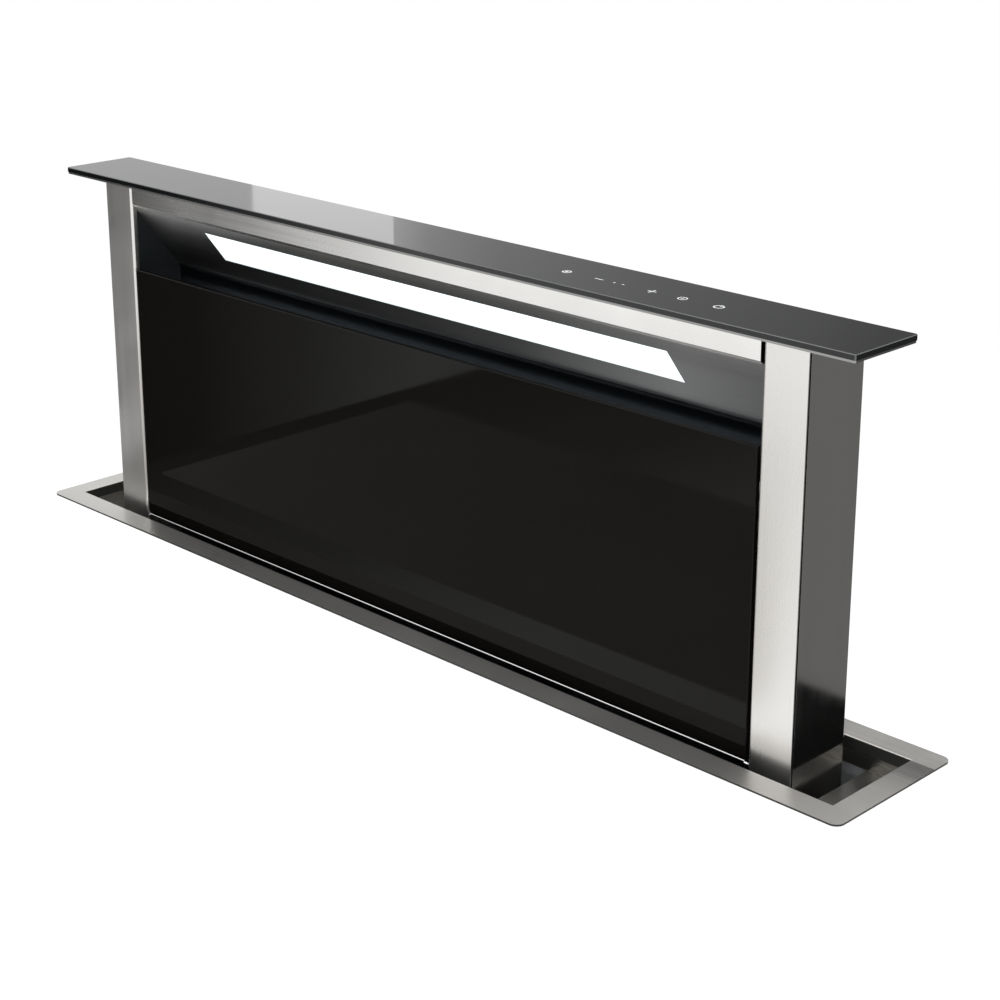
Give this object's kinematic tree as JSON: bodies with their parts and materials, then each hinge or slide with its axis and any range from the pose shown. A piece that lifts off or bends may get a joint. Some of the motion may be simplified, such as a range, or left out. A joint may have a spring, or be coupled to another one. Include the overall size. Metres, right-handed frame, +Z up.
{
  "type": "downdraft vent",
  "caption": "Worktop downdraft vent: a glass-fronted tower rises from a steel flange, draws fumes in under its cap past grease filters and sends them to a blower and round duct below.",
  "frame": {"origin": "middle of the worktop flange's opening, at the height of the worktop surface", "axes": "+X to the right along the flange as seen from the glass front, +Y to the back, +Z up; the glass front faces -Y"},
  "size_m": [0.904, 0.2686, 0.794],
  "materials": {
    "brushed_stainless": "fine straight brushing",
    "bright_trim": "polished",
    "black_glass": "polished glass printed black on the back",
    "well_steel": "satin sheet",
    "galvanised_sheet": "galvanised, faint spangle",
    "dark_lacquer": "satin black lacquer",
    "rear_steel": "satin sheet",
    "frame_steel": "zinc plated",
    "extrusion": "natural extruded",
    "filter_metal": "pleated mesh in a folded rim",
    "lamp_can": "folded sheet",
    "lamp_lens": "opal diffuser",
    "gear_steel": "machined",
    "gear_polymer": "moulded acetal",
    "bush_bronze": "sintered",
    "gearbox_casting": "die cast",
    "motor_shell": "black enamel",
    "fan_moulding": "moulded",
    "black_moulding": "moulded",
    "foot_rubber": "matt",
    "seal_foam": "closed-cell foam"
  },
  "bodies": {
    "chassis": {"worktop_flange": "brushed_stainless", "flange_seal": "seal_foam", "recess_tray": "well_steel", "housing_front_panel": "galvanised_sheet", "housing_rear_panel": "galvanised_sheet", "housing_side_right": "galvanised_sheet", "housing_side_left": "galvanised_sheet", "housing_base": "galvanised_sheet", "levelling_feet": "foot_rubber", "mounting_brackets": "galvanised_sheet", "guide_rails": "extrusion", "lift_racks": "gear_steel", "scroll_wrap": "galvanised_sheet", "scroll_plates": "galvanised_sheet", "inlet_ring": "fan_moulding", "motor_mount": "galvanised_sheet", "blower_motor": "motor_shell", "blower_stand": "galvanised_sheet", "outlet_spigot": "fan_moulding", "control_box": "galvanised_sheet", "control_box_lid": "galvanised_sheet", "cable_gland": "black_moulding", "limit_switches": "black_moulding"},
    "tower": {"column_front_right": "brushed_stainless", "column_front_left": "brushed_stainless", "side_panel_right": "brushed_stainless", "side_panel_left": "brushed_stainless", "tower_rear_panel": "rear_steel", "duct_cheeks": "dark_lacquer", "plenum_wall": "dark_lacquer", "tower_apron": "dark_lacquer", "foot_beam": "frame_steel", "top_rail": "brushed_stainless", "intake_soffit": "dark_lacquer", "lamp_diffuser": "lamp_lens", "lamp_housing": "lamp_can", "cap_tray": "brushed_stainless", "cap_glass": "black_glass", "touch_module": "black_moulding", "panel_catches": "black_moulding", "grease_filters": "filter_metal", "filter_rails": "frame_steel", "shaft_bushes": "bush_bronze", "lift_gearbox": "gearbox_casting", "lift_motor": "motor_shell", "carriages": "frame_steel", "guide_shoes": "gear_polymer", "switch_striker": "frame_steel"},
    "glass_panel": {"front_glass": "black_glass", "panel_backing": "dark_lacquer", "panel_pivot_bar": "bright_trim", "strike_blocks": "black_moulding"},
    "shaft_set": {"sync_shaft": "gear_steel", "lift_pinions": "gear_polymer"},
    "fan_wheel": {"impeller_disc": "galvanised_sheet", "impeller_blades": "galvanised_sheet", "impeller_ring": "galvanised_sheet", "motor_shaft": "gear_steel"},
    "flap_front": {"damper_flap_front": "fan_moulding"},
    "flap_rear": {"damper_flap_rear": "fan_moulding"}
  },
  "joints": [
    {"name": "tower_lift", "type": "slide", "parent": "chassis", "child": "tower", "axis": [0, 0, 1], "range_m": [-0.302, 0]},
    {"name": "glass_front_hinge", "type": "hinge", "parent": "tower", "child": "glass_panel", "pos_m": [0, -0.0284, -0.004], "axis": [1, 0, 0], "range_deg": [0, 35]},
    {"name": "shaft_turn", "type": "hinge", "parent": "tower", "child": "shaft_set", "pos_m": [0, 0.0137, -0.128], "axis": [1, 0, 0], "range_deg": [-1, 815]},
    {"name": "fan_spin", "type": "hinge", "parent": "chassis", "child": "fan_wheel", "pos_m": [-0.04, -0.11, -0.3], "axis": [0, 1, 0], "continuous": true},
    {"name": "damper_front", "type": "hinge", "parent": "chassis", "child": "flap_front", "pos_m": [-0.318, -0.124, -0.176], "axis": [0, 0, -1], "range_deg": [0, 80], "stiffness_Nm_per_rad": 0.01, "springref_deg": -11.46},
    {"name": "damper_rear", "type": "hinge", "parent": "chassis", "child": "flap_rear", "pos_m": [-0.318, -0.124, -0.176], "axis": [0, 0, 1], "range_deg": [0, 80], "stiffness_Nm_per_rad": 0.01, "springref_deg": -11.46}
  ],
  "couplings": [
    {"joint": "shaft_turn", "follows": "tower_lift", "rad_per_m": -47.059}
  ]
}
